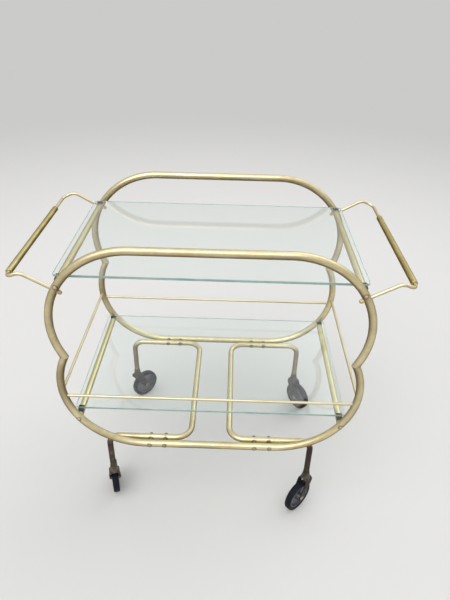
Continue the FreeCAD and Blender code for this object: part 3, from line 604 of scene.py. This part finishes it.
def ease(low, high, value):
    # Smooth step from 0 at low to 1 at high.
    t = np.clip((value - low) / (high - low), 0, 1)
    return t * t * (3 - 2 * t)


def hump(value, middle, width):
    # Bell curve: 1 at the middle, falling off over the width.
    return np.exp(-((value - middle) / width) ** 2)


def signedPower(value, power):
    return np.sign(value) * np.abs(value) ** power


def spin(profile, centre, axis, start, steps):
    # A closed profile of (radius, distance along) points carried once round an axis.
    angle = np.linspace(0, 2 * np.pi, steps, endpoint=False)
    spokes = np.cos(angle)[:, None] * start + np.sin(angle)[:, None] * np.cross(axis, start)
    return (centre + profile[None, :, :1] * spokes[:, None, :] + profile[None, :, 1:] * axis).reshape(-1, 3)


# Casters: tyre, wheel disc and fork in the place of the plain solids.

casterPlaces = ("front_left", "front_right", "rear_left", "rear_right")
up = np.array((0.0, 0.0, 1.0))


def casterFrame(place):
    # Swivel axis on the floor, wheel centre, and unit directions of trail and axle.
    swivel = np.array(joints[place + "_caster_swivel"]["pos_m"])
    wheel = np.array(joints[place + "_wheel_spin"]["pos_m"])
    foot = swivel * (1, 1, 0)
    trail = wheel * (1, 1, 0) - foot
    trail /= np.linalg.norm(trail)
    return foot, wheel, trail, np.cross(up, trail)


tyreShape = {
    "innerRadius": 0.037, "halfWidth": 0.009, "squareness": 3.4, "groovePlaces": (-0.0036, 0.0036),
    "grooveDepth": 0.0007, "grooveWidth": 0.0006, "sideRing": 0.0415, "ringDepth": 0.0004,
    "ringWidth": 0.0007, "steps": 144, "around": 120, "crease": 80,
}


def makeTyre(place):
    # Section: a rounded box (superellipse) whose tread is pressed in along two grooves,
    # with a shallow moulded line round each side; carried round the axle.
    wheel, trail, axle = casterFrame(place)[1:]
    shape = tyreShape
    outer = wheel[2]
    t = np.linspace(0, 2 * np.pi, shape["around"], endpoint=False)
    power = 2 / shape["squareness"]
    middle, half = (outer + shape["innerRadius"]) / 2, (outer - shape["innerRadius"]) / 2
    radius = middle + half * signedPower(np.cos(t), power)
    along = shape["halfWidth"] * signedPower(np.sin(t), power)
    onTread = ease(middle, outer, radius)
    for groove in shape["groovePlaces"]:
        radius = radius - onTread * shape["grooveDepth"] * hump(along, groove, shape["grooveWidth"])
    ring = hump(radius, shape["sideRing"], shape["ringWidth"])
    along = along - np.sign(along) * shape["ringDepth"] * ring
    points = spin(np.stack((radius, along), -1), wheel, axle, trail, shape["steps"])
    faces = outward(points, gridFaces(shape["steps"], shape["around"]))
    addPiece(place + "_tyre", points, faces, [finishes["tyre_rubber"]], place + "_wheel",
             place + "_caster_tyre", shape["crease"])


discShape = {
    "bore": 0.00405, "bossEnd": 0.0100, "webStart": 0.0122, "rimStart": 0.0325, "rimEnd": 0.0334,
    "outside": 0.037, "halfBoss": 0.0119, "halfWeb": 0.0020, "halfRim": 0.0075,
    "ridgePlaces": (0.0185, 0.0270), "ridgeHeight": 0.0011, "ridgeWidth": 0.0018,
    "acrossSteps": 70, "edgeSteps": 10, "steps": 128, "crease": 50,
}


def makeDisc(place):
    # Half thickness over the radius: high boss, thin web with two raised rings, wide rim;
    # the upper and lower faces form one closed profile carried round the axle.
    wheel, trail, axle = casterFrame(place)[1:]
    shape = discShape
    radius = np.unique(np.concatenate([
        np.linspace(shape["bore"], shape["outside"], shape["acrossSteps"]),
        np.linspace(shape["bossEnd"], shape["webStart"], shape["edgeSteps"]),
        np.linspace(shape["rimStart"], shape["rimEnd"], shape["edgeSteps"])]))
    half = np.full(radius.shape, shape["halfWeb"])
    half += (shape["halfBoss"] - shape["halfWeb"]) * (1 - ease(shape["bossEnd"], shape["webStart"], radius))
    half += (shape["halfRim"] - shape["halfWeb"]) * ease(shape["rimStart"], shape["rimEnd"], radius)
    for ridge in shape["ridgePlaces"]:
        half += shape["ridgeHeight"] * hump(radius, ridge, shape["ridgeWidth"])
    profile = np.concatenate([np.stack((radius, half), -1), np.stack((radius, -half), -1)[::-1]])
    points = spin(profile, wheel, axle, trail, shape["steps"])
    faces = outward(points, gridFaces(shape["steps"], len(profile)))
    addPiece(place + "_disc", points, faces, [finishes["wheel_disc"]], place + "_wheel",
             place + "_caster_hub", shape["crease"])


forkShape = {
    "halfInside": 0.0125, "sheet": 0.0025, "shoulder": 0.007, "roof": 0.105, "eye": 0.010,
    "reach": 0.013, "frontTaper": 0.012, "backTaper": 0.014, "flare": 0.004,
    "eyeFrom": 0.02, "eyeTo": 0.62 * math.pi, "eyeSteps": 40, "cheekSteps": 24, "bendSteps": 12, "around": 48,
    "thinnest": 1e-4,
}
headShape = {
    "foot": 0.0125, "neck": 0.0095, "stem": 0.004, "top": 0.1267, "neckFrom": 0.08, "neckTo": 0.42,
    "beadPlace": 0.72, "beadWidth": 0.07, "beadHeight": 0.0007, "rimFrom": 0.93, "rimDrop": 0.0008,
    "heightSteps": 40, "steps": 96,
}


def forkEdges(height, trailLength, axleHeight):
    # Front and back edge of the cheeks at each height: round eye, straight tapers, upright roof edges.
    shape = forkShape
    edges = []
    tapers = ((-shape["reach"], shape["roof"] - shape["frontTaper"], -shape["reach"]),
              (shape["reach"] + shape["flare"], shape["roof"] - shape["backTaper"], shape["reach"]))
    for side, (startX, startZ, topX) in zip((-1, 1), tapers):
        # The taper touches the round eye where a tangent from its start does.
        across, rise = startX - trailLength, startZ - axleHeight
        far = across ** 2 + rise ** 2
        near = shape["eye"] ** 2 / far
        turn = -side * shape["eye"] * math.sqrt(far - shape["eye"] ** 2) / far
        touchX = trailLength + across * near - rise * turn
        touchZ = axleHeight + rise * near + across * turn
        drop = np.clip(height - axleHeight, -shape["eye"], shape["eye"])
        eyeX = trailLength + side * np.sqrt(shape["eye"] ** 2 - drop ** 2)
        topZ = shape["roof"] + shape["sheet"]
        straightX = np.interp(height, (touchZ, startZ, topZ), (touchX, startX, topX))
        edges.append(np.where(height < touchZ, eyeX, straightX))
    return edges


def forkBar(foot, wheel, trail, axle):
    # A flat bar section with round edges, as wide as the cheek outline at each height, carried along
    # the bent sheet from one eye up over the roof to the other; its thickness closes to nothing at both ends.
    shape = forkShape
    trailLength, axleHeight = np.linalg.norm(wheel[:2] - foot[:2]), wheel[2]
    halfSheet = shape["sheet"] / 2
    side, bend = shape["halfInside"] + halfSheet, shape["shoulder"] + halfSheet
    top, low = shape["roof"] + halfSheet, axleHeight - shape["eye"]
    eyeTurn = np.linspace(shape["eyeFrom"], shape["eyeTo"], shape["eyeSteps"])
    eyeRise = axleHeight - shape["eye"] * np.cos(eyeTurn)
    cheek = np.concatenate([eyeRise, np.linspace(eyeRise[-1], top - bend, shape["cheekSteps"])[1:]])
    arc = np.linspace(0, np.pi / 2, shape["bendSteps"])[1:]
    pathY = np.concatenate([np.full(cheek.shape, -side), -side + bend - bend * np.cos(arc)])
    pathZ = np.concatenate([cheek, top - bend + bend * np.sin(arc)])
    pathY, pathZ = np.concatenate([pathY, -pathY[::-1]]), np.concatenate([pathZ, pathZ[::-1]])
    slopeY, slopeZ = np.gradient(pathY), np.gradient(pathZ)
    length = np.hypot(slopeY, slopeZ)
    normalY, normalZ = -slopeZ / length, slopeY / length
    front, back = forkEdges(pathZ, trailLength, axleHeight)
    fromEnd = np.clip((pathZ - low) / halfSheet, 0, 1)
    thick = halfSheet * np.sqrt(np.clip(1 - (1 - fromEnd) ** 2, shape["thinnest"], 1))
    turn = np.linspace(0, 2 * np.pi, shape["around"], endpoint=False)
    halfWidth = np.maximum((back - front) / 2, thick)
    level = np.maximum(halfWidth - thick, 0)[:, None]
    offset = np.sign(np.cos(turn)) * level + thick[:, None] * np.cos(turn)
    lift = thick[:, None] * np.sin(turn)
    x = (front + back)[:, None] / 2 + offset
    y = pathY[:, None] + normalY[:, None] * lift
    z = pathZ[:, None] + normalZ[:, None] * lift
    points = (foot + x[..., None] * trail + y[..., None] * axle + z[..., None] * up).reshape(-1, 3)
    return points, tubeFaces(points, len(pathY), len(turn))


def swivelHead(foot, trail):
    # A turned head on the fork roof: its radius narrows from the foot to the neck, swells in a small bead
    # and rounds off at the top; carried round the stem.
    shape = headShape
    s = np.linspace(0, 1, shape["heightSteps"])
    low = forkShape["roof"] + forkShape["sheet"]
    radius = shape["foot"] - (shape["foot"] - shape["neck"]) * ease(shape["neckFrom"], shape["neckTo"], s)
    radius += shape["beadHeight"] * hump(s, shape["beadPlace"], shape["beadWidth"])
    radius -= shape["rimDrop"] * ease(shape["rimFrom"], 1.0, s)
    outside = np.stack((radius, low + (shape["top"] - low) * s), -1)
    inside = np.array(((shape["stem"], shape["top"]), (shape["stem"], low)))
    profile = np.concatenate([outside, inside])
    points = spin(profile, foot, up, trail, shape["steps"])
    return points, outward(points, gridFaces(shape["steps"], len(profile)))


def makeFork(place):
    foot, wheel, trail, axle = casterFrame(place)
    points, faces = joinShells([forkBar(foot, wheel, trail, axle), swivelHead(foot, trail)])
    addPiece(place + "_fork", points, faces, [finishes["dark_bronze"]], place + "_swivel",
             place + "_caster_fork")


for place in casterPlaces:
    makeTyre(place)
    makeDisc(place)
    makeFork(place)
print("casters ready")

# Glass panes with a ground edge of their own finish.

paneShape = {"corner": 0.010, "arris": 0.0008, "cornerSteps": 14, "arrisSteps": 4, "crease": 12}


def makePane(level):
    # Outline: a rectangle with round corners. Profile: the ground edge between the faces, softened at both
    # arrises by a quarter circle; each profile step insets the outline.
    node = level + "_glass_shelf"
    lowest, highest = (np.array(corner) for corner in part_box(node))
    shape = paneShape
    half = (highest - lowest) / 2
    centre = (highest + lowest) / 2
    turn = np.linspace(0, np.pi / 2, shape["cornerSteps"])
    quarter = np.arange(4)[:, None] * np.pi / 2 + turn
    direction = np.stack((np.cos(quarter), np.sin(quarter)), -1).reshape(-1, 2)
    signs = np.repeat(np.array(((1, 1), (-1, 1), (-1, -1), (1, -1))), shape["cornerSteps"], 0)
    anchor = signs * (half[:2] - shape["corner"])
    arc = np.linspace(0, np.pi / 2, shape["arrisSteps"])
    inset = shape["arris"] * (1 - np.sin(arc))
    height = half[2] - shape["arris"] * (1 - np.cos(arc))
    inset, height = np.concatenate([inset, inset[::-1]]), np.concatenate([height, -height[::-1]])
    ring = anchor + direction * (shape["corner"] - inset)[:, None, None]
    layers = np.concatenate([ring, np.broadcast_to(height[:, None, None], ring.shape[:2] + (1,))], -1)
    points = (centre + layers).reshape(-1, 3)
    faces = tubeFaces(points, len(inset), len(direction))
    pane = addPiece(level + "_pane", points, faces, [finishes["clear_glass"], groundEdge],
                    "cart", node, shape["crease"])
    edge = np.ones(len(faces), np.int32)
    edge[-2:] = 0  # the two caps are the clear faces
    pane.data.polygons.foreach_set("material_index", edge)


for level in ("upper", "lower"):
    makePane(level)
print("panes ready")

# Braze beads in the notch of each waist.

beadShape = {
    "tubeRadius": 0.0095, "bend": 0.199, "radius": 0.0015, "reach": 1.9, "thinnest": 1e-3,
    "rippleHeight": 0.12, "ripples": (17.0, 6.0), "steps": 64, "around": 16, "crease": 60,
}


def makeBeads():
    # The level cut through the leaning tube is an ellipse; a thin round bead follows its outer part,
    # ripples a little and tapers to nothing at both ends.
    shape = beadShape
    upperLow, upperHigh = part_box("front_upper_hoop")
    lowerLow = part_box("front_lower_hoop")[0]
    tube, bend = shape["tubeRadius"], shape["bend"]
    halfSpan = upperHigh.x - tube - bend
    upperMiddle, lowerMiddle = upperHigh.z - tube - bend, lowerLow.z + tube + bend
    waistZ = (upperMiddle + lowerMiddle) / 2
    lean = math.asin((upperMiddle - waistZ) / bend)
    waistX = halfSpan + bend * math.cos(lean)
    t = np.linspace(-shape["reach"], shape["reach"], shape["steps"])
    path = np.stack((tube / math.cos(lean) * np.cos(t), tube * np.sin(t)), -1)
    outside = np.stack((np.cos(t), np.sin(t)), -1)
    width = shape["radius"] * np.sqrt(np.clip(1 - (t / shape["reach"]) ** 4, shape["thinnest"], 1))
    quick, slow = shape["ripples"]
    ripple = 1 + shape["rippleHeight"] * np.sin(t * quick) * np.cos(t * slow)
    turn = np.linspace(0, 2 * np.pi, shape["around"], endpoint=False)
    bulge = (width * ripple)[:, None]
    flat = path[:, None, :] + outside[:, None, :] * (bulge * np.cos(turn))[..., None]
    lift = bulge * np.sin(turn)
    shells = []
    for side in (-1, 1):
        for depth in (upperLow.y + tube, -upperLow.y - tube):
            bead = np.stack((side * (waistX + flat[..., 0]), depth + flat[..., 1], waistZ + lift), -1)
            bead = bead.reshape(-1, 3)
            shells.append((bead, tubeFaces(bead, shape["steps"], shape["around"])))
    points, faces = joinShells(shells)
    addPiece("waist_braze", points, faces, [finishes["fastener_brass"]], "cart", None,
             shape["crease"])


makeBeads()
print("beads ready")

# Studio: a pale floor, a soft dome with two glows, and a large lamp.

studio = {
    "farTone": (0.60, 0.596, 0.588, 1),  # shared by the far floor and the foot of the dome
    "floorSize": 80.0, "floorColour": (0.66, 0.655, 0.645, 1), "paler": 1.03, "cloudScale": 1.5,
    "cloudDetail": 4.0, "floorRough": 0.8, "farFrom": 1.2, "farTo": 4.5,
    "domeTop": (0.80, 0.80, 0.80, 1), "footUpTo": 0.22, "topFrom": 0.66,
}


def makeFloor():
    # A flat square at floor height; far from the cart it goes over to an even pale tone.
    half = studio["floorSize"] / 2
    corners = [(-half, -half, 0), (half, -half, 0), (half, half, 0), (-half, half, 0)]
    mesh = bpy.data.meshes.new("floor")
    mesh.from_pydata(corners, [], [(0, 1, 2, 3)])
    floor = bpy.data.objects.new("floor", mesh)
    bpy.context.scene.collection.objects.link(floor)
    material, tree, shader, place = newMaterial("floorPaint")
    cloud = addNoise(tree, place, studio["cloudScale"], studio["cloudDetail"])
    paler = tuple(value * studio["paler"] for value in studio["floorColour"][:3]) + (1,)
    colour = mixColours(tree, cloud, studio["floorColour"], paler)
    setInputs(tree, shader, {"Base Color": colour, "Roughness": studio["floorRough"]})
    distance = addNode(tree, "ShaderNodeVectorMath", {0: place}, operation="LENGTH").outputs["Value"]
    far = remap(tree, distance, studio["farFrom"], studio["farTo"])
    rays = addNode(tree, "ShaderNodeLightPath").outputs
    seen = plus(tree, plus(tree, rays["Is Camera Ray"], rays["Is Glossy Ray"]), rays["Is Transmission Ray"])
    seen = arithmetic(tree, "MINIMUM", seen, 1.0)
    glow = addNode(tree, "ShaderNodeEmission", {"Color": studio["farTone"]})
    blendShaders(tree, times(tree, far, seen), shader, glow)
    mesh.materials.append(material)


glows = {
    "frontLeft": {"heading": (-0.33, -0.52, 0.79), "core": 0.985, "rim": 0.80, "strength": 1.9},
    "rearRight": {"heading": (0.52, 0.52, 0.68), "core": 0.985, "rim": 0.83, "strength": 1.1},
}


def makeDome():
    # An even tone round the foot rises to a paler top; each glow fades with the angle from its heading.
    world = bpy.data.worlds.new("studioDome")
    bpy.context.scene.world = world
    world.use_nodes = True
    tree = world.node_tree
    direction = tree.nodes.new("ShaderNodeTexCoord").outputs["Generated"]
    rise = remap(tree, splitAxes(tree, direction)["Z"], studio["footUpTo"], studio["topFrom"])
    colour = mixColours(tree, rise, studio["farTone"], studio["domeTop"])
    for glow in glows.values():
        heading = Vector(glow["heading"]).normalized()
        nearness = addNode(tree, "ShaderNodeVectorMath", {0: direction, 1: heading}, operation="DOT_PRODUCT")
        shine = remap(tree, nearness.outputs["Value"], glow["rim"], glow["core"], 0.0, glow["strength"])
        colour = addNode(tree, "ShaderNodeVectorMath", {0: colour, 1: shine}, operation="ADD").outputs[0]
    tree.links.new(colour, tree.nodes["Background"].inputs["Color"])


overhead = {"place": (-0.4, -0.6, 3.1), "aim": (-0.3, -0.4, 0), "size": (3.2, 2.8), "power": 4}


def makeLamp():
    data = bpy.data.lights.new("overhead", "AREA")
    data.shape = "RECTANGLE"
    data.size, data.size_y = overhead["size"]
    data.energy = overhead["power"]
    lamp = bpy.data.objects.new("overhead", data)
    bpy.context.scene.collection.objects.link(lamp)
    heading = Vector(overhead["aim"]) - Vector(overhead["place"])
    turn = heading.to_track_quat("-Z", "Y").to_matrix().to_4x4()
    lamp.matrix_world = Matrix.Translation(overhead["place"]) @ turn


makeFloor()
makeDome()
makeLamp()
print("studio ready")

photoView = {
    "place": (0.0435, -1.2063, 1.3472),  # metres, in the cart's frame
    "yaw": -0.0113, "pitch": 0.5755, "roll": -0.0239,  # radians
    "focal": 527.13, "imageHeight": 600,  # pixels
    "sensor": 36,  # millimetres
}


def makeCamera():
    yaw, pitch, roll = photoView["yaw"], photoView["pitch"], photoView["roll"]
    forward = Vector((math.sin(yaw) * math.cos(pitch), math.cos(yaw) * math.cos(pitch), -math.sin(pitch)))
    level = Vector((math.cos(yaw), -math.sin(yaw), 0))
    below = forward.cross(level)
    right = level * math.cos(roll) + below * math.sin(roll)
    upright = level * math.sin(roll) - below * math.cos(roll)
    data = bpy.data.cameras.new("photoCamera")
    data.sensor_width = photoView["sensor"]
    data.lens = photoView["focal"] / photoView["imageHeight"] * photoView["sensor"]
    camera = bpy.data.objects.new("photoCamera", data)
    bpy.context.scene.collection.objects.link(camera)
    turn = Matrix((right, upright, -forward)).transposed().to_4x4()
    camera.matrix_world = Matrix.Translation(photoView["place"]) @ turn
    bpy.context.scene.camera = camera


makeCamera()
bpy.context.scene.view_settings.view_transform = "Standard"
print("camera ready")
